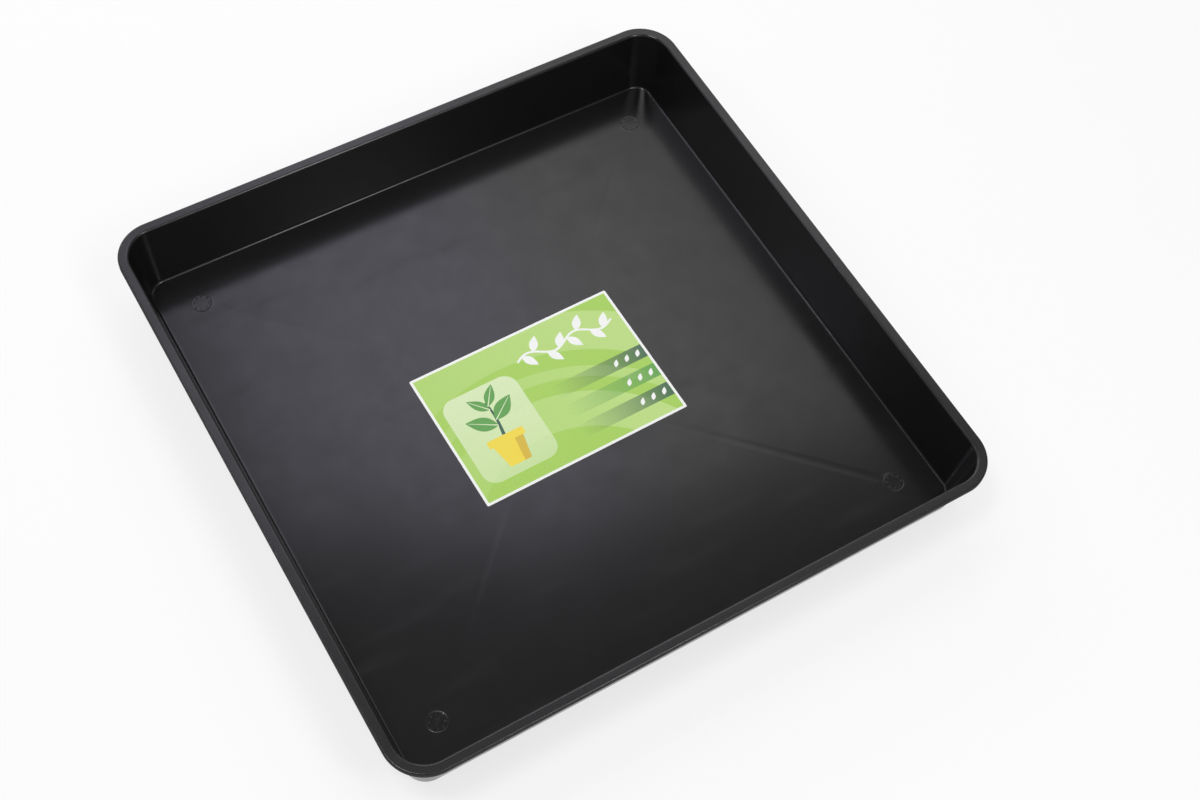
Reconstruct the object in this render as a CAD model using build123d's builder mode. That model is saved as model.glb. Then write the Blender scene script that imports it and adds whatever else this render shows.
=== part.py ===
"""Square potting tray: a moulded shell and the printed label stuck to its floor.

Millimetres, +Z up. The origin is on the ground, under the middle of the tray.
"""

import os
from math import cos, radians, sqrt, tan

from build123d import *

# Shell
RIM_SIDE = 600.0  # across the outside of the rim
HEIGHT = 72.0  # from the ground to the top of the rim
FLOOR_THICKNESS = 3.0
WALL_THICKNESS = 3.0  # square to the wall
WALL_DRAFT = 9.0  # degrees that the walls lean outwards
FLOOR_CORNER_RADIUS = 18.0  # inside, where the walls meet the floor
FLOOR_FILLET = 2.5  # inside, along the foot of the walls
FOOT_FILLET = 2.0  # outside, around the underside

# Rim: a flat flange whose outer edge is turned down as a skirt
RIM_THICKNESS = 3.0
RIM_CHANNEL = 4.5  # hollow under the flange, from the wall to the skirt
RIM_INNER_FILLET = 3.0
RIM_OUTER_FILLET = 1.5
SKIRT_LENGTH = 3.0  # below the flange
SKIRT_THICKNESS = 2.0
SKIRT_EDGE_FILLET = 0.5
CHANNEL_FILLET = 0.8  # in the two roots of the channel

# Round stamps that the mould leaves near the floor's corners
STAMP_INSET = 40.5  # from the middle of a stamp to the foot of each wall
STAMP_DIAMETER = 20.0
STAMP_RING_WIDTH = 1.2
STAMP_RELIEF = 0.3

# Date pointer across the front stamp
POINTER_CLEARANCE = 1.6  # from the ring to either end
POINTER_WIDTH = 2.0
POINTER_HEAD_LENGTH = 4.5
POINTER_HEAD_WIDTH = 5.0

# Shallow bands along the floor's diagonals, from the middle to the stamps
BAND_DEPTH = 0.25
BAND_WIDTH_AT_MIDDLE = 8.0
BAND_WIDTH_AT_STAMP = 13.0
BAND_GAP = 2.0  # between the end of a band and the stamp

# Gate mark, where the plastic entered the mould under the middle of the floor
GATE_DIMPLE_DIAMETER = 20.0
GATE_DIMPLE_DEPTH = 0.8
GATE_STUB_DIAMETER = 4.0
GATE_STUB_CLEARANCE = 0.3  # above the ground

# Label
LABEL_LENGTH = 216.0
LABEL_WIDTH = 150.0
LABEL_THICKNESS = 0.2
LABEL_TURN = 0.9  # degrees, as it was stuck on
LABEL_X = 2.6  # middle of the label from the middle of the floor
LABEL_Y = -5.0

# Sizes that follow from these
DEPTH = HEIGHT - FLOOR_THICKNESS
LEAN = tan(radians(WALL_DRAFT))  # how far a wall moves out for each millimetre up
WALL_SPAN = WALL_THICKNESS / cos(radians(WALL_DRAFT))  # a wall's thickness, measured level
RIM_WIDTH = WALL_SPAN + RIM_CHANNEL + SKIRT_THICKNESS
FLANGE_LEVEL = HEIGHT - RIM_THICKNESS
SKIRT_LEVEL = FLANGE_LEVEL - SKIRT_LENGTH
WALL_RUN = DEPTH * LEAN + RIM_WIDTH  # from the foot of the inner wall to the outside of the rim
FLOOR_SIDE = RIM_SIDE - 2 * WALL_RUN
FOOT_STEP = WALL_SPAN - FLOOR_THICKNESS * LEAN  # from the foot of the inner wall to the outer foot
FOOT_SIDE = FLOOR_SIDE + 2 * FOOT_STEP
FOOT_CORNER_RADIUS = FLOOR_CORNER_RADIUS + FOOT_STEP
RIM_CORNER_RADIUS = FLOOR_CORNER_RADIUS + WALL_RUN
STAMP_RADIUS = STAMP_DIAMETER / 2
STAMP_PLACE = FLOOR_SIDE / 2 - STAMP_INSET  # from the middle of the floor, along X and along Y
POINTER_REACH = STAMP_RADIUS - STAMP_RING_WIDTH - POINTER_CLEARANCE
BAND_LENGTH = STAMP_PLACE * sqrt(2) - STAMP_RADIUS - BAND_GAP

with BuildPart() as hollow:
    # Space inside the walls, which the shell is moulded around
    with BuildSketch(Plane.XY.offset(FLOOR_THICKNESS)):
        RectangleRounded(FLOOR_SIDE, FLOOR_SIDE, FLOOR_CORNER_RADIUS)
    extrude(amount=DEPTH)
    walls = hollow.faces().filter_by(Axis.Z, reverse=True)
    draft(walls, Plane.XY.offset(FLOOR_THICKNESS), -WALL_DRAFT)
    foot = hollow.faces().sort_by(Axis.Z)[0]
    fillet(foot.edges(), FLOOR_FILLET)

with BuildPart() as tray:
    # Outside of the walls
    with BuildSketch(Plane.XY):
        RectangleRounded(FOOT_SIDE, FOOT_SIDE, FOOT_CORNER_RADIUS)
    extrude(amount=HEIGHT)
    walls = tray.faces().filter_by(Axis.Z, reverse=True)
    draft(walls, Plane.XY, -WALL_DRAFT)
    underside = tray.faces().sort_by(Axis.Z)[0]
    fillet(underside.edges(), FOOT_FILLET)

    # Flange and skirt of the rim
    with BuildSketch(Plane.XY.offset(FLANGE_LEVEL)):
        RectangleRounded(RIM_SIDE, RIM_SIDE, RIM_CORNER_RADIUS)
    extrude(amount=RIM_THICKNESS)
    with BuildSketch(Plane.XY.offset(FLANGE_LEVEL)):
        RectangleRounded(RIM_SIDE, RIM_SIDE, RIM_CORNER_RADIUS)
        offset(amount=-SKIRT_THICKNESS, mode=Mode.SUBTRACT)
    extrude(amount=-SKIRT_LENGTH)
    level_faces = tray.faces().filter_by(Plane.XY)
    skirt_edge = level_faces.filter_by_position(Axis.Z, SKIRT_LEVEL, SKIRT_LEVEL)
    fillet(skirt_edge.edges(), SKIRT_EDGE_FILLET)
    level_faces = tray.faces().filter_by(Plane.XY)
    channel = level_faces.filter_by_position(Axis.Z, FLANGE_LEVEL, FLANGE_LEVEL)
    fillet(channel.edges(), CHANNEL_FILLET)

    # Inside of the walls and the floor
    add(hollow.part, mode=Mode.SUBTRACT)

    # Rounded edges along the top of the rim
    rim_top = tray.faces().sort_by(Axis.Z)[-1]
    fillet(rim_top.inner_wires()[0].edges(), RIM_INNER_FILLET)
    rim_top = tray.faces().sort_by(Axis.Z)[-1]
    fillet(rim_top.outer_wire().edges(), RIM_OUTER_FILLET)

    # Diagonal bands
    with BuildSketch(Plane.XY.offset(FLOOR_THICKNESS)):
        with PolarLocations(0, 4, start_angle=45):
            Polygon(
                (0, BAND_WIDTH_AT_MIDDLE / 2),
                (0, -BAND_WIDTH_AT_MIDDLE / 2),
                (BAND_LENGTH, -BAND_WIDTH_AT_STAMP / 2),
                (BAND_LENGTH, BAND_WIDTH_AT_STAMP / 2),
                align=None,
            )
    extrude(amount=-BAND_DEPTH, mode=Mode.SUBTRACT)

    # Rings of the stamps, and the pointer that faces the middle of the floor
    with BuildSketch(Plane.XY.offset(FLOOR_THICKNESS)):
        with GridLocations(2 * STAMP_PLACE, 2 * STAMP_PLACE, 2, 2):
            Circle(STAMP_RADIUS)
            Circle(STAMP_RADIUS - STAMP_RING_WIDTH, mode=Mode.SUBTRACT)
        with Locations((-STAMP_PLACE, -STAMP_PLACE)):
            Polygon(
                (POINTER_REACH, 0),
                (POINTER_REACH - POINTER_HEAD_LENGTH, POINTER_HEAD_WIDTH / 2),
                (POINTER_REACH - POINTER_HEAD_LENGTH, POINTER_WIDTH / 2),
                (-POINTER_REACH, POINTER_WIDTH / 2),
                (-POINTER_REACH, -POINTER_WIDTH / 2),
                (POINTER_REACH - POINTER_HEAD_LENGTH, -POINTER_WIDTH / 2),
                (POINTER_REACH - POINTER_HEAD_LENGTH, -POINTER_HEAD_WIDTH / 2),
                rotation=45,
                align=None,
            )
    extrude(amount=STAMP_RELIEF)

    # Gate mark
    with BuildSketch(Plane.XY):
        Circle(GATE_DIMPLE_DIAMETER / 2)
    extrude(amount=GATE_DIMPLE_DEPTH, mode=Mode.SUBTRACT)
    with BuildSketch(Plane.XY.offset(GATE_STUB_CLEARANCE)):
        Circle(GATE_STUB_DIAMETER / 2)
    extrude(amount=GATE_DIMPLE_DEPTH - GATE_STUB_CLEARANCE)

with BuildPart() as label:
    with BuildSketch(Plane.XY.offset(FLOOR_THICKNESS)):
        with Locations((LABEL_X, LABEL_Y)):
            Rectangle(LABEL_LENGTH, LABEL_WIDTH, rotation=LABEL_TURN)
    extrude(amount=LABEL_THICKNESS)

os.makedirs("parts", exist_ok=True)
tray.part.label = "tray"
export_step(tray.part, "parts/tray.step")
label.part.label = "label"
export_step(label.part, "parts/label.step")
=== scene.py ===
"""Potting tray: a satin black moulding with a printed label on its floor, in a plain studio.

Metres and +Z up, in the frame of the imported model. The tray's and label's sizes are written in millimetres
and scaled by MM, and the studio's are in metres.
"""

from math import atan2, cos, hypot, pi, radians, sin, tan

import bmesh
import bpy
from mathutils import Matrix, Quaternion, Vector
from mathutils.geometry import delaunay_2d_cdt


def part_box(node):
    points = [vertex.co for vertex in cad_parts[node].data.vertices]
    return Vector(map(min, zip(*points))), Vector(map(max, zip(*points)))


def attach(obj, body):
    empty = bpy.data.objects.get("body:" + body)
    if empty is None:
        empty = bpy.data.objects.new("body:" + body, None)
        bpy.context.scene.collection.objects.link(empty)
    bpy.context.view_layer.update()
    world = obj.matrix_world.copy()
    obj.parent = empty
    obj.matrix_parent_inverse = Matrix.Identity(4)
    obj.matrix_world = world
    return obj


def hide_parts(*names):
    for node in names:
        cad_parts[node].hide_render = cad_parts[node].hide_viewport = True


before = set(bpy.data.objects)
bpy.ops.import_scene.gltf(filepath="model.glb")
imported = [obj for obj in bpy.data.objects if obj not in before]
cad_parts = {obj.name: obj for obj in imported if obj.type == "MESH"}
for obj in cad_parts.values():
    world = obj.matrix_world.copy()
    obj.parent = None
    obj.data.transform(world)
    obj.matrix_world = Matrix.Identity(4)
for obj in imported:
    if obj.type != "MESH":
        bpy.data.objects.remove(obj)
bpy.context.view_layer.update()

MM = 0.001

# Tray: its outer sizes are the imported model's, and the rest is as the part's source has it
tray_low, tray_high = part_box("tray")
RIM_SIDE = round((tray_high.x - tray_low.x) / MM, 3)
HEIGHT = round((tray_high.z - tray_low.z) / MM, 3)
FLOOR_TOP = 3.0
WALL_THICKNESS = 3.0  # square to the wall
WALL_DRAFT = 9.0  # degrees that the walls lean outwards
FLOOR_CORNER_RADIUS = 18.0
RIM_THICKNESS = 3.0
RIM_CHANNEL = 4.5
SKIRT_LENGTH = 3.0
SKIRT_THICKNESS = 2.0
FLOOR_ROUNDING = 2.5  # inside, along the foot of the walls
UNDERSIDE_ROUNDING = 2.0
RIM_OUTER_ROUNDING = 1.5
SKIRT_ROUNDING = 0.5
CHANNEL_ROUNDING = 0.8

# What differs from the part's source, or is needed only here
RIM_FALL = 0.45  # the rim's top is this much lower at its inner edge
RIM_INNER_ROUNDING = 2.6
SWEPT_FLOOR = 4.0  # how far the swept section reaches in from the foot of the inner wall

# Sizes that follow from these
LEAN = tan(radians(WALL_DRAFT))  # how far a wall moves out for each millimetre up
WALL_SPAN = WALL_THICKNESS * hypot(1.0, LEAN)  # the wall's thickness, measured level
RIM_WIDTH = WALL_SPAN + RIM_CHANNEL + SKIRT_THICKNESS
WALL_RUN = (HEIGHT - FLOOR_TOP) * LEAN
FLOOR_SIDE = RIM_SIDE - 2 * (WALL_RUN + RIM_WIDTH)
FOOT_STEP = WALL_SPAN - FLOOR_TOP * LEAN
RIM_CORNER_RADIUS = FLOOR_CORNER_RADIUS + WALL_RUN + RIM_WIDTH

# Marks that the mould leaves, with softer edges than in the part's source, and lower stamps and bands
STAMP_INSET = 40.5  # from the middle of a stamp to the foot of each wall
STAMP_PLACE = FLOOR_SIDE / 2 - STAMP_INSET  # from the middle of the floor, along X and along Y
STAMP_RADIUS = 10.0
STAMP_RING_WIDTH = 1.2
STAMP_RELIEF = 0.14
STAMP_EDGE = 0.5  # level width of the slope round each raised mark
STAMP_TICKS = 8
TICK_START = 5.6  # from the middle of the stamp
TICK_END = 8.2
TICK_HALF_WIDTH = 0.9
POINTER_TIP = 6.0  # from the middle of the stamp
POINTER_NECK = 1.0
POINTER_TAIL = -4.4
POINTER_HEAD_HALF_WIDTH = 3.2
POINTER_HALF_WIDTH = 1.4
BAND_DEPTH = 0.15
BAND_GAP = 2.0  # between the end of a band and the stamp
BAND_LENGTH = STAMP_PLACE * 2**0.5 - STAMP_RADIUS - BAND_GAP
BAND_HALF_WIDTHS = (4.0, 6.5)  # at the middle of the floor, and at the stamps
BAND_SLOPE = 3.0  # level width of the soft step at a band's edge
GATE_RADIUS = 10.0
GATE_DEPTH = 0.8
GATE_SLOPE = 0.6  # level width of the dimple's edge
GATE_STUB_RADIUS = 2.0
GATE_STUB_SLOPE = 0.3
GATE_STUB_CLEARANCE = 0.3  # above the ground

# Label
LABEL_LENGTH = 216.0
LABEL_WIDTH = 150.0
LABEL_THICKNESS = 0.2
LABEL_TURN = 0.9  # degrees, as it was stuck on
LABEL_PLACE = (2.6, -5.0)
LABEL_CORNER = 1.5
LABEL_BORDER = 2.6
FADE_STEP = 9.0  # between the points that let a fading ink change smoothly

# Where the shell's finish changes, and where the raised marks get a painted highlight
RUBBED_SPAN = (0.5, 2.5)  # outwards from the rim's inner edge, where the rub starts and where it is full
RUBBED_LEVELS = (64.0, 65.0)  # the same, in height
RAISED_LEVELS = (0.03, 0.12)  # the same above the floor, for the raised marks
MARKS_REACH = 5.0  # past the square between the centres of the corners, and well short of the walls
SCUFF_DEPTHS = (0.5, 0.1)  # in from the skirt's outer face, where the scuff starts and where it is full

# How delaunay_2d_cdt works here: it keeps the triangles inside the outlines, and joins points this close
INSIDE_ONLY = 1
CLOSE = 1e-5


def linear(colour):
    """An sRGB hex colour as the linear one that Blender works with."""
    parts = [int(colour[i : i + 2], 16) / 255 for i in (1, 3, 5)]
    return [c / 12.92 if c <= 0.04045 else ((c + 0.055) / 1.055) ** 2.4 for c in parts]


def add(tree, kind, links=None, **settings):
    """Adds a node with its settings, and links or sets its inputs."""
    made = tree.nodes.new(kind)
    for name, value in settings.items():
        setattr(made, name, value)
    for name, value in (links or {}).items():
        if isinstance(value, bpy.types.NodeSocket):
            tree.links.new(value, made.inputs[name])
        else:
            made.inputs[name].default_value = value
    return made


def cells(size):
    """A texture's scale on Object coordinates, for a pattern of this many millimetres."""
    return 1.0 / (size * MM)


def new_material(name):
    """An empty material, its node tree and its shader."""
    made = bpy.data.materials.new(name)
    made.use_nodes = True
    tree = made.node_tree
    return made, tree, tree.nodes["Principled BSDF"]


def plain_mesh(mesh, prepare):
    """The mesh with the modifiers that prepare() adds to an object of it, as a plain mesh again."""
    carrier = bpy.data.objects.new("carrier", mesh)
    bpy.context.collection.objects.link(carrier)
    prepare(carrier)
    graph = bpy.context.evaluated_depsgraph_get()
    made = bpy.data.meshes.new_from_object(carrier.evaluated_get(graph), depsgraph=graph)
    bpy.data.objects.remove(carrier)
    return made


def new_piece(name, mesh, node):
    """A piece that stands for a CAD node, on the tray's one body."""
    piece = bpy.data.objects.new(name, mesh)
    bpy.context.collection.objects.link(piece)
    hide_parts(node)
    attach(piece, "root")


# Outlines in the floor's plane, in millimetres


def circle(x, y, radius, steps=64):
    turns = [2 * pi * i / steps for i in range(steps)]
    return [(x + radius * cos(turn), y + radius * sin(turn)) for turn in turns]


def rounded_box(x, y, length, width, radius, steps=8):
    points = []
    for quarter, (sx, sy) in enumerate(((1, 1), (-1, 1), (-1, -1), (1, -1))):
        cx, cy = x + sx * (length / 2 - radius), y + sy * (width / 2 - radius)
        for i in range(steps + 1):
            turn = pi / 2 * (quarter + i / steps)
            points.append((cx + radius * cos(turn), cy + radius * sin(turn)))
    return points


def leaf(start, end, width, steps=18):
    """A pointed leaf, widest a little before its middle."""
    ax, ay = start
    dx, dy = end[0] - ax, end[1] - ay
    length = hypot(dx, dy)
    nx, ny = -dy / length, dx / length
    left, right = [], []
    for i in range(1, steps):
        t = i / steps
        half = width / 2 * sin(pi * t**0.85)
        left.append((ax + dx * t + nx * half, ay + dy * t + ny * half))
        right.append((ax + dx * t - nx * half, ay + dy * t - ny * half))
    return [start] + right + [end] + left[::-1]


def ribbon(line, widths):
    """A strip along a line of points, as wide at each as widths says."""
    left, right = [], []
    for i, (x, y) in enumerate(line):
        ax, ay = line[max(i - 1, 0)]
        bx, by = line[min(i + 1, len(line) - 1)]
        length = hypot(bx - ax, by - ay)
        nx, ny = -(by - ay) / length * widths[i] / 2, (bx - ax) / length * widths[i] / 2
        left.append((x + nx, y + ny))
        right.append((x - nx, y - ny))
    return right + left[::-1]


def turned(points, angle, x=0.0, y=0.0):
    c, s = cos(angle), sin(angle)
    return [(x + px * c - py * s, y + px * s + py * c) for px, py in points]


def inset(outline, distance):
    """An outline that runs anticlockwise, with each of its edges moved inwards."""
    moved = []
    for i, here in enumerate(outline):
        along = (Vector(here) - Vector(outline[i - 1])).normalized()
        onward = (Vector(outline[(i + 1) % len(outline)]) - Vector(here)).normalized()
        inward = Vector((-along.y - onward.y, along.x + onward.x)) / (1 + along.dot(onward))
        moved.append(tuple(Vector(here) + inward * distance))
    return moved


# Finishes

BLACK = linear("#141414")
HAZED_BLACK = linear("#171717")
RUBBED_BLACK = linear("#1f1f1f")
# A lighter grey, painted on the raised marks of the floor as a highlight
MARKS_HIGHLIGHT_GREY = linear("#202020")

shell_finish, tree, shader = new_material("black_polypropylene_satin_moulded")
# Black polypropylene from a polished mould: nearly black with a soft satin sheen, hazed a little in clouds
# and in faint wipes by handling, and duller and greyer on the rim, where it is rubbed.
place = add(tree, "ShaderNodeTexCoord").outputs["Object"]
height = add(tree, "ShaderNodeSeparateXYZ", {"Vector": place}).outputs["Z"]
# Outward is how far a point lies past the square between the centres of the corners, whatever its height.
corner_place = (RIM_SIDE / 2 - RIM_CORNER_RADIUS) * MM
outward = add(tree, "ShaderNodeVectorMath", {0: place}, operation="ABSOLUTE")
outward = add(
    tree,
    "ShaderNodeVectorMath",
    {0: outward.outputs["Vector"], 1: (corner_place, corner_place, 1.0)},
    operation="SUBTRACT",
)
outward = add(tree, "ShaderNodeVectorMath", {0: outward.outputs["Vector"], 1: (0, 0, 0)}, operation="MAXIMUM")
outward = add(tree, "ShaderNodeVectorMath", {0: outward.outputs["Vector"]}, operation="LENGTH")
rim_edge = (RIM_CORNER_RADIUS - RIM_WIDTH) * MM
beyond = add(
    tree,
    "ShaderNodeMapRange",
    {
        "Value": outward.outputs["Value"],
        "From Min": rim_edge + RUBBED_SPAN[0] * MM,
        "From Max": rim_edge + RUBBED_SPAN[1] * MM,
    },
)
above = add(
    tree,
    "ShaderNodeMapRange",
    {"Value": height, "From Min": RUBBED_LEVELS[0] * MM, "From Max": RUBBED_LEVELS[1] * MM},
)
rubbed = add(
    tree,
    "ShaderNodeMath",
    {0: beyond.outputs["Result"], 1: above.outputs["Result"]},
    operation="MULTIPLY",
)
# A cloud of haze is about 30 mm across.
clouds = add(
    tree,
    "ShaderNodeTexNoise",
    {"Vector": place, "Scale": cells(30), "Detail": 6.0, "Roughness": 0.65},
)
haze = add(tree, "ShaderNodeMapRange", {"Value": clouds.outputs["Fac"], "From Min": 0.3, "From Max": 0.7})
tone = add(
    tree,
    "ShaderNodeMix",
    {"Factor": haze.outputs["Result"], "A": BLACK + [1], "B": HAZED_BLACK + [1]},
    data_type="RGBA",
)
tone = add(
    tree,
    "ShaderNodeMix",
    {"Factor": rubbed.outputs["Value"], "A": tone.outputs["Result"], "B": RUBBED_BLACK + [1]},
    data_type="RGBA",
)
# The raised marks on the floor are painted a lighter grey: a painted highlight that makes them show in the
# dark front of the tray.
raised = add(
    tree,
    "ShaderNodeMapRange",
    {
        "Value": height,
        "From Min": (FLOOR_TOP + RAISED_LEVELS[0]) * MM,
        "From Max": (FLOOR_TOP + RAISED_LEVELS[1]) * MM,
    },
)
inside = add(
    tree,
    "ShaderNodeMath",
    {0: outward.outputs["Value"], 1: MARKS_REACH * MM},
    operation="LESS_THAN",
)
raised = add(
    tree,
    "ShaderNodeMath",
    {0: raised.outputs["Result"], 1: inside.outputs["Value"]},
    operation="MULTIPLY",
)
tone = add(
    tree,
    "ShaderNodeMix",
    {"Factor": raised.outputs["Value"], "A": tone.outputs["Result"], "B": MARKS_HIGHLIGHT_GREY + [1]},
    data_type="RGBA",
)
tree.links.new(tone.outputs["Result"], shader.inputs["Base Color"])
# A wipe of the hand is about 20 mm wide and 120 mm long.
wipe_place = add(
    tree,
    "ShaderNodeMapping",
    {"Vector": place, "Rotation": (0, 0, radians(62)), "Scale": (cells(120), cells(20), cells(60))},
)
wipes = add(tree, "ShaderNodeTexNoise", {"Vector": wipe_place.outputs["Vector"], "Scale": 1.0, "Detail": 4.0})
wipes = add(tree, "ShaderNodeMapRange", {"Value": wipes.outputs["Fac"], "From Min": 0.54, "From Max": 0.78})
# The outer face of the skirt is scuffed matt, so that it stays dark against a pale floor.
outer_edge = RIM_CORNER_RADIUS * MM
scuffed = add(
    tree,
    "ShaderNodeMapRange",
    {
        "Value": outward.outputs["Value"],
        "From Min": outer_edge - SCUFF_DEPTHS[0] * MM,
        "From Max": outer_edge - SCUFF_DEPTHS[1] * MM,
    },
)
# Haze takes a little off the strength of the reflections and softens them.
dulled = add(tree, "ShaderNodeMapRange", {"Value": haze.outputs["Result"], "To Min": 0.54, "To Max": 0.46})
tree.links.new(dulled.outputs["Result"], shader.inputs["Specular IOR Level"])
sheen = add(tree, "ShaderNodeMapRange", {"Value": haze.outputs["Result"], "To Min": 0.175, "To Max": 0.205})
for worn, amount in (
    (wipes.outputs["Result"], 0.06),
    (rubbed.outputs["Value"], 0.08),
    (scuffed.outputs["Result"], 0.6),
):
    sheen = add(tree, "ShaderNodeMath", {0: worn, 1: amount, 2: sheen.outputs[0]}, operation="MULTIPLY_ADD")
tree.links.new(sheen.outputs["Value"], shader.inputs["Roughness"])
# The mould's grain is about 0.1 mm; it is drawn at 0.6 mm so that it shows.
grain = add(tree, "ShaderNodeTexNoise", {"Vector": place, "Scale": cells(0.6), "Detail": 2.0})
bump = add(tree, "ShaderNodeBump", {"Strength": 0.1, "Distance": 0.02 * MM, "Height": grain.outputs["Fac"]})
tree.links.new(bump.outputs["Normal"], shader.inputs["Normal"])
shader.inputs["IOR"].default_value = 1.49

label_finish, tree, shader = new_material("printed_film_gloss")
# White polypropylene film, printed and varnished: clear flat inks with a faint mottle under an even gloss.
place = add(tree, "ShaderNodeTexCoord").outputs["Object"]
ink = add(tree, "ShaderNodeAttribute", attribute_name="ink")
# The mottle of the inks is about 1.5 mm across.
mottle = add(tree, "ShaderNodeTexNoise", {"Vector": place, "Scale": cells(1.5), "Detail": 2.0})
mottle = add(tree, "ShaderNodeMapRange", {"Value": mottle.outputs["Fac"], "To Min": 0.94, "To Max": 1.06})
print_colour = add(
    tree,
    "ShaderNodeMix",
    {"Factor": 1.0, "A": ink.outputs["Color"], "B": mottle.outputs["Result"]},
    data_type="RGBA",
    blend_type="MULTIPLY",
)
tree.links.new(print_colour.outputs["Result"], shader.inputs["Base Color"])
# The varnish changes a little over about 40 mm.
varnish = add(tree, "ShaderNodeTexNoise", {"Vector": place, "Scale": cells(40), "Detail": 2.0})
varnish = add(tree, "ShaderNodeMapRange", {"Value": varnish.outputs["Fac"], "To Min": 0.3, "To Max": 0.4})
tree.links.new(varnish.outputs["Result"], shader.inputs["Roughness"])
shader.inputs["IOR"].default_value = 1.5

# Shell: the section of wall and rim, swept round a square with rounded corners

wall_top = HEIGHT - RIM_FALL
section = [  # outwards from the foot of the inner wall, height, rounding
    (-SWEPT_FLOOR, FLOOR_TOP, 0.0),
    (0.0, FLOOR_TOP, FLOOR_ROUNDING),
    ((wall_top - FLOOR_TOP) * LEAN, wall_top, RIM_INNER_ROUNDING),
    (WALL_RUN + RIM_WIDTH, HEIGHT, RIM_OUTER_ROUNDING),
    (WALL_RUN + RIM_WIDTH, HEIGHT - RIM_THICKNESS - SKIRT_LENGTH, SKIRT_ROUNDING),
    (WALL_RUN + RIM_WIDTH - SKIRT_THICKNESS, HEIGHT - RIM_THICKNESS - SKIRT_LENGTH, SKIRT_ROUNDING),
    (WALL_RUN + RIM_WIDTH - SKIRT_THICKNESS, HEIGHT - RIM_THICKNESS, CHANNEL_ROUNDING),
    (FOOT_STEP + (HEIGHT - RIM_THICKNESS) * LEAN, HEIGHT - RIM_THICKNESS, CHANNEL_ROUNDING),
    (FOOT_STEP, 0.0, UNDERSIDE_ROUNDING),
    (-SWEPT_FLOOR, 0.0, 0.0),
]


def section_sweep():
    """Nodes that round the corners of a section and sweep it along a rounded square."""
    tree = bpy.data.node_groups.new("section_round_a_square", "GeometryNodeTree")
    for name, kind in (
        ("Section", "Geometry"),
        ("Side", "Float"),
        ("Corner radius", "Float"),
        ("Corner steps", "Int"),
        ("Edge steps", "Int"),
        ("Finish", "Material"),
    ):
        tree.interface.new_socket(name, in_out="INPUT", socket_type="NodeSocket" + kind)
    tree.interface.new_socket("Mesh", in_out="OUTPUT", socket_type="NodeSocketGeometry")
    given = add(tree, "NodeGroupInput").outputs
    rounding = add(tree, "GeometryNodeInputNamedAttribute", {"Name": "rounding"}, data_type="FLOAT")
    outline = add(tree, "GeometryNodeMeshToCurve", {"Mesh": given["Section"]})
    outline = add(
        tree,
        "GeometryNodeFilletCurve",
        {
            "Curve": outline.outputs["Curve"],
            "Count": given["Edge steps"],
            "Radius": rounding.outputs["Attribute"],
        },
        mode="POLY",
    )
    square = add(
        tree,
        "GeometryNodeCurvePrimitiveQuadrilateral",
        {"Width": given["Side"], "Height": given["Side"]},
    )
    square = add(
        tree,
        "GeometryNodeFilletCurve",
        {
            "Curve": square.outputs["Curve"],
            "Count": given["Corner steps"],
            "Radius": given["Corner radius"],
        },
        mode="POLY",
    )
    square = add(tree, "GeometryNodeSetCurveNormal", {"Curve": square.outputs["Curve"]}, mode="Z_UP")
    swept = add(
        tree,
        "GeometryNodeCurveToMesh",
        {"Curve": square.outputs["Curve"], "Profile Curve": outline.outputs["Curve"]},
    )
    whole = add(tree, "GeometryNodeRealizeInstances", {"Geometry": swept.outputs["Mesh"]})
    whole = add(
        tree,
        "GeometryNodeSetMaterial",
        {"Geometry": whole.outputs["Geometry"], "Material": given["Finish"]},
    )
    add(tree, "NodeGroupOutput", {"Mesh": whole.outputs["Geometry"]})
    return tree


def swept_section():
    """The section as a chain of edges, swept into walls and rim."""
    mesh = bpy.data.meshes.new("section")
    chain = [(i, i + 1) for i in range(len(section) - 1)]
    mesh.from_pydata([(d * MM, -z * MM, 0.0) for d, z, _ in section], chain, [])
    rounding = mesh.attributes.new("rounding", "FLOAT", "POINT")
    for item, (_, _, radius) in zip(rounding.data, section):
        item.value = radius * MM
    tree = section_sweep()
    values = {
        "Side": FLOOR_SIDE * MM,
        "Corner radius": FLOOR_CORNER_RADIUS * MM,
        "Corner steps": 24,
        "Edge steps": 8,
        "Finish": shell_finish,
    }

    def prepare(carrier):
        modifier = carrier.modifiers.new("sweep", "NODES")
        modifier.node_group = tree
        for socket in tree.interface.items_tree:
            if socket.name in values:
                modifier[socket.identifier] = values[socket.name]

    return plain_mesh(mesh, prepare)


def fill_sheet(shell, ring, level, loops):
    """Closes a ring of the shell with a flat sheet that changes height at each of the loops in it."""
    points = [Vector(v.co.xy) / MM for v in ring]
    heights = []
    edges = []
    for outline, step in loops:
        first = len(points)
        count = len(outline)
        points += [Vector(p) for p in outline]
        heights += [level + step] * count
        edges += [(first + i, first + (i + 1) % count) for i in range(count)]
    border = list(range(len(ring)))
    flat, _, triangles, sources, _, _ = delaunay_2d_cdt(points, edges, [border], INSIDE_ONLY, CLOSE)
    corners = []
    for point, source in zip(flat, sources):
        place = source[0] - len(ring)
        if place < 0:
            corners.append(ring[source[0]])
        else:
            corners.append(shell.verts.new((point.x * MM, point.y * MM, heights[place] * MM)))
    for triangle in triangles:
        shell.faces.new([corners[i] for i in triangle])


def cross_of_bands():
    """Outline of the four bands that lie on the floor's diagonals and meet in its middle."""
    middle, end = BAND_HALF_WIDTHS
    crotch = middle / (1 - (end - middle) / BAND_LENGTH)
    arm = [(crotch, -crotch), (BAND_LENGTH, -end), (BAND_LENGTH, end)]
    return [p for k in range(4) for p in turned(arm, pi / 4 + k * pi / 2)]


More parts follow.
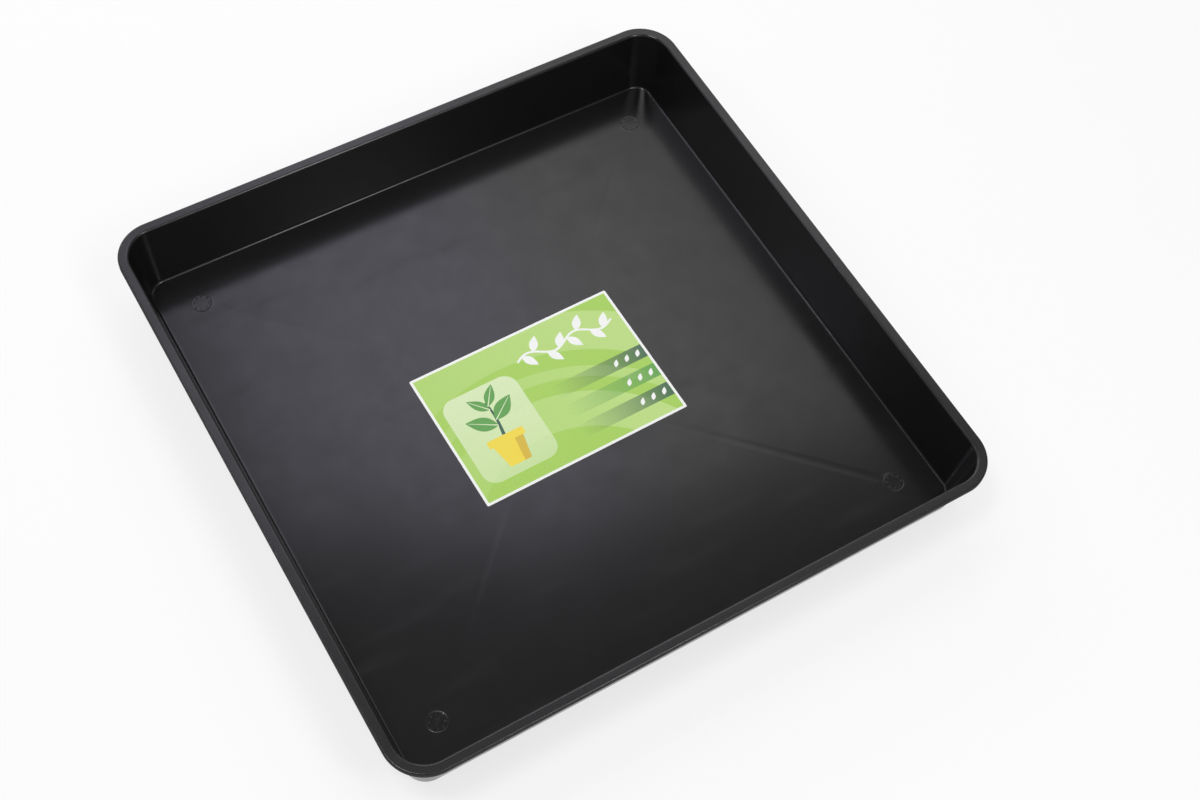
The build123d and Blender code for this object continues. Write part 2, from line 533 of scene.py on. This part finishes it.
def stamp(x, y, pointer):
    """Loops of a round stamp: its ring, the ticks of its dial and, on one, the pointer."""
    inner = STAMP_RADIUS - STAMP_RING_WIDTH
    loops = [
        (circle(x, y, STAMP_RADIUS), 0.0),
        (circle(x, y, STAMP_RADIUS - STAMP_EDGE), STAMP_RELIEF),
        (circle(x, y, inner + STAMP_EDGE), STAMP_RELIEF),
        (circle(x, y, inner), 0.0),
    ]
    tick = [
        (TICK_START, -TICK_HALF_WIDTH),
        (TICK_END, -TICK_HALF_WIDTH),
        (TICK_END, TICK_HALF_WIDTH),
        (TICK_START, TICK_HALF_WIDTH),
    ]
    marks = [turned(tick, 2 * pi * (k + 0.5) / STAMP_TICKS, x, y) for k in range(STAMP_TICKS)]
    if pointer:
        arrow = [
            (POINTER_TIP, 0.0),
            (POINTER_NECK, POINTER_HEAD_HALF_WIDTH),
            (POINTER_NECK, POINTER_HALF_WIDTH),
            (POINTER_TAIL, POINTER_HALF_WIDTH),
            (POINTER_TAIL, -POINTER_HALF_WIDTH),
            (POINTER_NECK, -POINTER_HALF_WIDTH),
            (POINTER_NECK, -POINTER_HEAD_HALF_WIDTH),
        ]
        marks.append(turned(arrow, pi / 4, x, y))
    for mark in marks:
        loops += [(mark, 0.0), (inset(mark, STAMP_EDGE), STAMP_RELIEF)]
    return loops


shell = bmesh.new()
shell.from_mesh(swept_section())
open_verts = {v for e in shell.edges if e.is_boundary for v in e.verts}
floor_ring = sorted((v for v in open_verts if v.co.z > MM), key=lambda v: atan2(v.co.y, v.co.x))
under_ring = sorted((v for v in open_verts if v.co.z < MM), key=lambda v: atan2(v.co.y, v.co.x))
bands = cross_of_bands()
floor_loops = [(bands, 0.0), (inset(bands, BAND_SLOPE), -BAND_DEPTH)]
for sx in (-1, 1):
    for sy in (-1, 1):
        floor_loops += stamp(sx * STAMP_PLACE, sy * STAMP_PLACE, sx + sy == -2)
fill_sheet(shell, floor_ring, FLOOR_TOP, floor_loops)
gate_loops = [
    (circle(0, 0, GATE_RADIUS), 0.0),
    (circle(0, 0, GATE_RADIUS - GATE_SLOPE), GATE_DEPTH),
    (circle(0, 0, GATE_STUB_RADIUS + GATE_STUB_SLOPE, steps=32), GATE_DEPTH),
    (circle(0, 0, GATE_STUB_RADIUS, steps=32), GATE_STUB_CLEARANCE),
]
fill_sheet(shell, under_ring, 0.0, gate_loops)
bmesh.ops.recalc_face_normals(shell, faces=shell.faces)
for face in shell.faces:
    face.smooth = True
shell_mesh = bpy.data.meshes.new("tray_shell")
shell.to_mesh(shell_mesh)
shell.free()
shell_mesh.materials.append(shell_finish)


def even_shading(carrier):
    """Lets each flat face keep its own normal and the roundings turn between them."""
    weighted = carrier.modifiers.new("flat_faces_first", "WEIGHTED_NORMAL")
    weighted.weight = 100


new_piece("tray_shell", plain_mesh(shell_mesh, even_shading), "tray")

# Label: every printed shape is a region of the film, and each region's ink is mixed over those under it.
# Places on it are in millimetres from its middle, along its length and its width.

WHITE = linear("#f2f4ef")
LIME = linear("#a5cf58")
LIGHT_LIME = linear("#c9e396")
PALE = linear("#dcecbf")
DARK_GREEN = linear("#35604a")
LEAF_GREEN = linear("#5da04a")
YELLOW = linear("#f0d840")
OCHRE = linear("#d6b636")
FILM, FIELD = 0, 1  # the first two layers; the others are printed inside the field
FIELD_LENGTH = LABEL_LENGTH - 2 * LABEL_BORDER
FIELD_WIDTH = LABEL_WIDTH - 2 * LABEL_BORDER
FIELD_CORNER = 0.6
CURVES_MIDDLE = (-30, -150)
CURVES = ((112, 150, 0.7), (166, 178, 0.5), (196, 240, 0.6))  # inner and outer radius, greatest strength
CURVES_FAINT = 0.2  # their strength at the left
CURVES_FADE = ((-110, 0), (110, 40))  # from where they are faint to where they are strongest
STRIPES = ((-2, DARK_GREEN), (-26, LEAF_GREEN), (-50, DARK_GREEN))  # middle line and ink
STRIPE_MIDDLE = 55.2
STRIPE_LENGTH = 100.4
STRIPE_WIDTH = 15
STRIPE_CORNER = 0.3
STRIPE_STRENGTH = 0.95
STRIPE_FADE = (105, 6)  # along the label, from where a stripe is strongest to where it ends
STRIPE_LEAVES = (74, 86, 98)
STRIPE_LEAF = (2.4, 3.6)  # from the middle of a small leaf to its tip
STRIPE_LEAF_WIDTH = 4.2
PLANT = -58  # the middle of the potted plant, along the label
PATCH_LEVEL = -10  # the pale patch behind it
PATCH_LENGTH = 78
PATCH_WIDTH = 98
PATCH_CORNER = 14
PATCH_FADE = (40, -60)  # across the label
PATCH_STRENGTHS = (0.9, 0.55)
POT_FOOT = -50
POT_TOP = -24
POT_FOOT_HALF = 11
POT_TOP_HALF = 16
POT_BRIM = (38, 8)  # length and width
POT_BRIM_LEVEL = -21
POT_BRIM_CORNER = 1.2
SHADE_TOP = 7  # from the pot's middle to the edge of its shaded side
SHADE_FOOT = 4
STEM_FOOT = -17
STEM_LENGTH = 38
STEM_SWAY = 2.5
STEM_SWAY_STEPS = 8  # for each radian of the sway
STEM_WIDTH = 3.4
STEM_STEPS = 20
STEM_TAPER = 0.09  # less width at each step
PLANT_LEAVES = (  # start, tip, width
    ((-57.4, -6), (-84, 10), 15),
    ((-56.4, 0), (-32, 18), 15),
    ((-56.2, 12), (-72, 30), 10),
    ((-56.2, 16), (-42, 36), 10),
)
RIB_WIDTH = 1.1
RIB_STEPS = 10
RIB_TAPER = 0.07
VINE_START = -8
VINE_LENGTH = 104
VINE_LEVEL = 44
VINE_WAVE = 5
VINE_WAVES = 2
VINE_WIDTH = 2.2
VINE_STEPS = 60
VINE_LEAF_STEPS = range(4, VINE_STEPS, 7)  # where the leaves grow
VINE_LEAF = (10, 15)  # from the vine to the tip
VINE_LEAF_WIDTH = 8.5


def solid(colour):
    return lambda u, v: (colour, 1.0)


def fading(colour, start, end, first, last):
    """An ink that goes from one strength to another between two points."""
    du, dv = end[0] - start[0], end[1] - start[1]

    def at(u, v):
        t = ((u - start[0]) * du + (v - start[1]) * dv) / (du * du + dv * dv)
        return colour, first + (last - first) * min(max(t, 0.0), 1.0)

    return at


def sweep_band(u, v, inner, outer, steps=96):
    """A broad curved band, half of a ring round a point."""
    turns = [pi * i / steps for i in range(steps + 1)]
    far = [(u + outer * cos(turn), v + outer * sin(turn)) for turn in turns]
    near = [(u + inner * cos(turn), v + inner * sin(turn)) for turn in turns]
    return far + near[::-1]


def curves():
    """Pale curves round a point outside the label, which grow stronger towards its right."""
    layers = []
    for inner, outer, strength in CURVES:
        ink = fading(LIGHT_LIME, *CURVES_FADE, CURVES_FAINT, strength)
        layers.append((sweep_band(*CURVES_MIDDLE, inner, outer), ink))
    return layers


def stripes():
    """Level stripes that run to the right edge of the field and fade out to the left."""
    layers = []
    for v, colour in STRIPES:
        box = rounded_box(STRIPE_MIDDLE, v, STRIPE_LENGTH, STRIPE_WIDTH, STRIPE_CORNER, steps=1)
        strong, gone = STRIPE_FADE
        layers.append((box, fading(colour, (strong, v), (gone, v), STRIPE_STRENGTH, 0.0)))
    return layers


def potted_plant():
    """A plant with four leaves in a pot, on a pale patch."""
    top, foot = PATCH_FADE
    patch_ink = fading(PALE, (PLANT, top), (PLANT, foot), *PATCH_STRENGTHS)
    patch = rounded_box(PLANT, PATCH_LEVEL, PATCH_LENGTH, PATCH_WIDTH, PATCH_CORNER, steps=12)
    layers = [(patch, patch_ink)]
    pot = [
        (PLANT + POT_FOOT_HALF, POT_FOOT),
        (PLANT + POT_TOP_HALF, POT_TOP),
        (PLANT - POT_TOP_HALF, POT_TOP),
        (PLANT - POT_FOOT_HALF, POT_FOOT),
    ]
    shade = pot[:2] + [(PLANT + SHADE_TOP, POT_TOP), (PLANT + SHADE_FOOT, POT_FOOT)]
    layers.append((pot, solid(YELLOW)))
    layers.append((shade, solid(OCHRE)))
    brim = rounded_box(PLANT, POT_BRIM_LEVEL, *POT_BRIM, POT_BRIM_CORNER, steps=4)
    layers.append((brim, solid(YELLOW)))
    stem = []
    for t in range(STEM_STEPS + 1):
        stem.append((PLANT + STEM_SWAY * sin(t / STEM_SWAY_STEPS), STEM_FOOT + STEM_LENGTH * t / STEM_STEPS))
    stem_widths = [STEM_WIDTH - STEM_TAPER * t for t in range(STEM_STEPS + 1)]
    layers.append((ribbon(stem, stem_widths), solid(DARK_GREEN)))
    rib_widths = [RIB_WIDTH - RIB_TAPER * t for t in range(RIB_STEPS)]
    for start, end, width in PLANT_LEAVES:
        layers.append((leaf(start, end, width), solid(LEAF_GREEN)))
        (ax, ay), (bx, by) = start, end
        rib = []
        for t in range(RIB_STEPS):
            rib.append((ax + (bx - ax) * t / RIB_STEPS, ay + (by - ay) * t / RIB_STEPS))
        layers.append((ribbon(rib, rib_widths), solid(PALE)))
    return layers


def sprig():
    """A waved vine with leaves on either side of it in turn."""
    vine = []
    for t in range(VINE_STEPS + 1):
        wave = VINE_WAVE * sin(t / VINE_STEPS * VINE_WAVES * 2 * pi)
        vine.append((VINE_START + VINE_LENGTH * t / VINE_STEPS, VINE_LEVEL + wave))
    layers = [(ribbon(vine, [VINE_WIDTH] * len(vine)), solid(WHITE))]
    along, across = VINE_LEAF
    for k, t in enumerate(VINE_LEAF_STEPS):
        u, v = vine[t]
        side = 1 if k % 2 else -1
        layers.append((leaf((u, v), (u + along, v + side * across), VINE_LEAF_WIDTH), solid(WHITE)))
    return layers


def stripe_leaves():
    """Small leaves at the strong end of each stripe."""
    layers = []
    along, across = STRIPE_LEAF
    for v, _ in STRIPES:
        for u in STRIPE_LEAVES:
            small = leaf((u - along, v - across), (u + along, v + across), STRIPE_LEAF_WIDTH, steps=10)
            layers.append((small, solid(WHITE)))
    return layers


def print_layers():
    """Outlines and inks of the print, from the film up."""
    layers = [
        (rounded_box(0, 0, LABEL_LENGTH, LABEL_WIDTH, LABEL_CORNER), solid(WHITE)),
        (rounded_box(0, 0, FIELD_LENGTH, FIELD_WIDTH, FIELD_CORNER, steps=2), solid(LIME)),
    ]
    return layers + curves() + stripes() + potted_plant() + sprig() + stripe_leaves()


def label_sheet():
    """The film with its print as corner colours in the attribute ink."""
    layers = print_layers()
    points, faces = [], []
    for outline, _ in layers:
        faces.append(list(range(len(points), len(points) + len(outline))))
        points += [Vector(p) for p in outline]
    columns, rows = int(LABEL_LENGTH / FADE_STEP), int(LABEL_WIDTH / FADE_STEP)
    for i in range(columns):
        for j in range(rows):
            points.append(Vector(((i + 0.5 - columns / 2) * FADE_STEP, (j + 0.5 - rows / 2) * FADE_STEP)))
    flat, _, triangles, _, _, owners = delaunay_2d_cdt(points, [], faces, INSIDE_ONLY, CLOSE)
    film = bmesh.new()
    ink = film.loops.layers.float_color.new("ink")
    placed = turned([p.xy for p in flat], radians(LABEL_TURN), *LABEL_PLACE)
    corners = [film.verts.new((x * MM, y * MM, (FLOOR_TOP + LABEL_THICKNESS) * MM)) for x, y in placed]
    for triangle, inside in zip(triangles, owners):
        if FILM not in inside:
            continue
        face = film.faces.new([corners[i] for i in triangle])
        for corner, i in zip(face.loops, triangle):
            colour = WHITE
            for number, (_, mixed) in enumerate(layers):
                if number in inside and (number <= FIELD or FIELD in inside):
                    over, strength = mixed(*flat[i])
                    colour = [a + (b - a) * strength for a, b in zip(colour, over)]
            corner[ink] = (*colour, 1.0)
    bmesh.ops.delete(film, geom=[v for v in film.verts if not v.link_faces], context="VERTS")
    mesh = bpy.data.meshes.new("label_film")
    film.to_mesh(mesh)
    film.free()
    mesh.materials.append(label_finish)
    return mesh


def film_thickness(carrier):
    """Gives the sheet its thickness, down to the tray's floor."""
    thick = carrier.modifiers.new("film", "SOLIDIFY")
    thick.thickness = LABEL_THICKNESS * MM
    thick.offset = -1.0


new_piece("label_film", plain_mesh(label_sheet(), film_thickness), "label")

# Studio, in metres: a pale floor, soft lamps, a pale horizon and a darker ceiling

FLOOR_REACH = 6.0  # half of the floor's side
FLOOR_DROP = 0.0003  # below the tray, so that the two faces don't share one plane
WHITE_SHARE = 0.7  # how far the floor is brought to plain white
PANEL_HEIGHT = 1.8
MIDDLE = (0.0, 0.0, 0.0)
PLAIN = "#ffffff"
COOL = "#eeeaff"
HORIZON = 0.06  # the upward part of a ray's direction, below which the world is palest
CEILING = 0.3  # the same, above which it is darkest
HORIZON_STRENGTH = 1.0
CEILING_STRENGTH = 0.18

floor_finish, tree, shader = new_material("matt_white_studio_floor")
# Matt white paper sweep: seen by the eye and in gloss, it is brought most of the way to plain white, and it
# keeps the tray's shadow.
shader.inputs["Base Color"].default_value = linear("#f7f7f7") + [1]
shader.inputs["Roughness"].default_value = 0.9
ray = add(tree, "ShaderNodeLightPath").outputs
seen = add(tree, "ShaderNodeMath", {0: ray["Is Camera Ray"], 1: ray["Is Glossy Ray"]}, operation="MAXIMUM")
seen = add(
    tree,
    "ShaderNodeMath",
    {0: seen.outputs["Value"], 1: ray["Is Transmission Ray"]},
    operation="MAXIMUM",
)
share = add(tree, "ShaderNodeMath", {0: seen.outputs["Value"], 1: WHITE_SHARE}, operation="MULTIPLY")
white = add(tree, "ShaderNodeEmission", {"Color": (1, 1, 1, 1), "Strength": 1.0})
mixed = add(
    tree,
    "ShaderNodeMixShader",
    {0: share.outputs["Value"], 1: shader.outputs["BSDF"], 2: white.outputs["Emission"]},
)
tree.links.new(mixed.outputs["Shader"], tree.nodes["Material Output"].inputs["Surface"])
floor_mesh = bpy.data.meshes.new("studio_floor")
floor_corners = []
for x, y in ((-1, -1), (1, -1), (1, 1), (-1, 1)):
    floor_corners.append((x * FLOOR_REACH, y * FLOOR_REACH, -FLOOR_DROP))
floor_mesh.from_pydata(floor_corners, [], [(0, 1, 2, 3)])
floor_mesh.materials.append(floor_finish)
floor = bpy.data.objects.new("studio_floor", floor_mesh)
bpy.context.collection.objects.link(floor)


def softbox(name, place, aim, size, radiance, colour=PLAIN):
    """A rectangular lamp that faces a point and is as bright to look at as radiance says."""
    lamp = bpy.data.lights.new(name, "AREA")
    lamp.shape = "RECTANGLE"
    lamp.size, lamp.size_y = size
    lamp.energy = radiance * pi * size[0] * size[1]
    lamp.color = linear(colour)
    lit = bpy.data.objects.new(name, lamp)
    lit.rotation_mode = "QUATERNION"
    lit.rotation_quaternion = (Vector(aim) - Vector(place)).to_track_quat("-Z", "Y")
    lit.location = place
    bpy.context.collection.objects.link(lit)


def panel(name, x, y, size, radiance, colour=PLAIN):
    """A lamp overhead that faces straight down."""
    softbox(name, (x, y, PANEL_HEIGHT), (x, y, 0.0), size, radiance, colour)


# Panels behind the tray, whose reflections lie across its floor, from the middle to the right and at the left
panel("panel_1", 0.06, 1.24, (0.24, 0.88), 1.72, COOL)
panel("panel_2", 0.27, 1.155, (0.18, 0.95), 2.2, COOL)
panel("panel_3", 0.52, 1.1, (0.32, 1.06), 2.2, COOL)
panel("panel_4", 0.85, 1.07, (0.34, 1.08), 1.6)
panel("panel_5", 1.62, 1.06, (1.2, 1.18), 1.05)
panel("panel_far_left", -1.85, 1.5, (0.8, 0.9), 2.0)
panel("panel_left", -0.75, 1.275, (0.9, 0.65), 0.9, COOL)
# Lamps behind, at the left, in front and overhead, for the walls, the rim and the label
softbox("softbox_back", (0.2, 2.6, 1.4), MIDDLE, (3.0, 0.9), 2.6)
softbox("softbox_left", (-1.33, 0.93, PANEL_HEIGHT), (0.2, -0.2, 0.0), (0.16, 0.2), 26.0, COOL)
panel("panel_over_the_left", -1.4, -0.4, (0.5, 0.9), 1.5)
softbox("softbox_front", (0.2, -2.2, 1.6), MIDDLE, (1.4, 1.4), 0.5)
panel("panel_over_the_front", 0.4, -0.6, (0.9, 0.5), 2.6)
softbox("strip_front", (0.45, -1.35, PANEL_HEIGHT), MIDDLE, (0.3, 0.8), 12.0)
softbox("reflector_overhead", (-0.84, -0.02, 2.76), MIDDLE, (0.65, 0.65), 17.0)

world = bpy.data.worlds.new("studio")
bpy.context.scene.world = world
world.use_nodes = True
tree = world.node_tree
ray = add(tree, "ShaderNodeTexCoord").outputs["Generated"]
ray = add(tree, "ShaderNodeSeparateXYZ", {"Vector": ray})
climb = add(
    tree,
    "ShaderNodeMapRange",
    {
        "Value": ray.outputs["Z"],
        "From Min": HORIZON,
        "From Max": CEILING,
        "To Min": HORIZON_STRENGTH,
        "To Max": CEILING_STRENGTH,
    },
)
tree.links.new(climb.outputs["Result"], tree.nodes["Background"].inputs["Strength"])
tree.nodes["Background"].inputs["Color"].default_value = (1, 1, 1, 1)

# Camera, worked out from the tray's straight edges in the photograph

CAMERA_PLACE = Vector((-0.46417, -0.69249, 1.41118))
CAMERA_AIM = Vector((0.0424, -0.0333, 0.003))
CAMERA_ROLL = 8.059  # degrees about the line of sight
CAMERA_LENS = 52.08  # focal length in millimetres
CAMERA_SENSOR = 36.0  # width in millimetres

camera_data = bpy.data.cameras.new("camera")
camera_data.sensor_width = CAMERA_SENSOR
camera_data.lens = CAMERA_LENS
camera = bpy.data.objects.new("camera", camera_data)
camera.rotation_mode = "QUATERNION"
look = (CAMERA_AIM - CAMERA_PLACE).to_track_quat("-Z", "Y")
camera.rotation_quaternion = look @ Quaternion((0, 0, 1), radians(CAMERA_ROLL))
camera.location = CAMERA_PLACE
bpy.context.collection.objects.link(camera)
bpy.context.scene.camera = camera

bpy.context.scene.view_settings.view_transform = "Standard"
